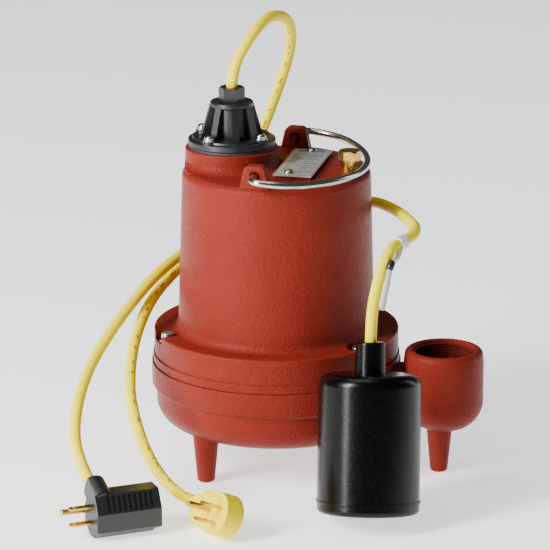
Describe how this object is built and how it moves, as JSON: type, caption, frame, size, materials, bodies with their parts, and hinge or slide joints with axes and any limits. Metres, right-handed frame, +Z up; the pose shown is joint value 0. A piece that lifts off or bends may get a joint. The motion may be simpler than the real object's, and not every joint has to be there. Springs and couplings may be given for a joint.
{
  "type": "submersible sump pump",
  "caption": "Submersible cast-iron sump pump with a wire handle, side pipe-thread discharge, cord cap, and a tethered float switch on a piggyback plug.",
  "frame": {"origin": "On the floor, under the middle of the pump's own box (the cords, their plugs, the tie and the float are left out of that box).", "axes": "+Z up, along the shaft and the discharge thread; +X from the shaft to the discharge cup; +Y away from the side where the float stands."},
  "size_m": [0.2921, 0.328, 0.3552],
  "materials": {
    "red_paint": "satin orange-peel enamel over cast iron",
    "stainless": "bright drawn stainless",
    "zinc_steel": "zinc plated",
    "dark_steel": "black oxide",
    "lamination": "varnished electrical steel",
    "copper": "enamelled copper",
    "brass": "plain brass",
    "aluminium": "cast and rolled aluminium",
    "cast_iron": "machined grey iron",
    "black_plastic": "moulded, faintly pebbled",
    "black_gloss": "glossy moulded polypropylene",
    "black_rubber": "plain rubber",
    "black_vinyl": "moulded vinyl",
    "yellow_vinyl": "satin cord jacket",
    "white_nylon": "translucent nylon",
    "ceramic": "ground ceramic",
    "carbon": "lapped carbon",
    "phenolic": "brown phenolic"
  },
  "bodies": {
    "pump_body": {"bearing_plate": "red_paint", "cable_tie": "white_nylon", "cap_gasket": "black_rubber", "cap_screws": "stainless", "cap_washers": "stainless", "compression_nut": "black_plastic", "cord_cap": "black_plastic", "cord_grommet": "black_rubber", "flange_bolts": "stainless", "flange_washers": "stainless", "float_cord": "yellow_vinyl", "housing_seal_ring": "black_rubber", "lead_wires": "copper", "lower_bearing_outer": "zinc_steel", "lower_winding": "copper", "motor_housing": "red_paint", "nameplate": "aluminium", "nameplate_screws": "stainless", "oil_plug": "brass", "piggyback_blades": "brass", "piggyback_body": "black_vinyl", "piggyback_pin": "brass", "power_cord": "yellow_vinyl", "power_plug_blades": "brass", "power_plug_body": "yellow_vinyl", "power_plug_pin": "brass", "retaining_ring": "dark_steel", "seal_seat": "ceramic", "slot_coils": "copper", "stator_core": "lamination", "thermal_overload": "phenolic", "upper_bearing_outer": "zinc_steel", "upper_wave_washer": "dark_steel", "upper_winding": "copper", "volute": "red_paint", "volute_seal_ring": "black_rubber", "wire_connectors": "aluminium"},
    "rotor": {"upper_bearing_balls": "stainless", "lower_bearing_balls": "stainless", "shaft": "stainless", "rotor_core": "lamination", "rotor_end_rings": "aluminium", "upper_bearing_inner": "zinc_steel", "lower_bearing_inner": "zinc_steel", "seal_rotary": "carbon", "seal_spring": "stainless", "impeller": "cast_iron", "impeller_washer": "stainless", "impeller_nut": "stainless"},
    "handle": {"handle": "stainless"},
    "float": {"float_shell": "black_gloss", "float_end_cap": "black_gloss", "float_switch_case": "phenolic", "float_contacts": "brass", "float_cord_drop": "yellow_vinyl", "tie_tail": "white_nylon"},
    "switch_ball": {"float_switch_ball": "zinc_steel"}
  },
  "joints": [
    {"name": "shaft_spin", "type": "hinge", "parent": "pump_body", "child": "rotor", "pos_m": [-0.034, 0, 0.15], "axis": [0, 0, 1], "continuous": true},
    {"name": "handle_swing", "type": "hinge", "parent": "pump_body", "child": "handle", "pos_m": [-0.034, 0, 0.249], "axis": [0, -1, 0], "range_deg": [0, 105]},
    {"name": "float_swing", "type": "hinge", "parent": "pump_body", "child": "float", "pos_m": [0.0744, -0.0718, 0.2009], "axis": [-0.9913, 0.1319, 0], "range_deg": [0, 120]},
    {"name": "ball_roll", "type": "slide", "parent": "float", "child": "switch_ball", "axis": [-0.043, 0.235, 0.971], "range_m": [0, 0.036]}
  ]
}
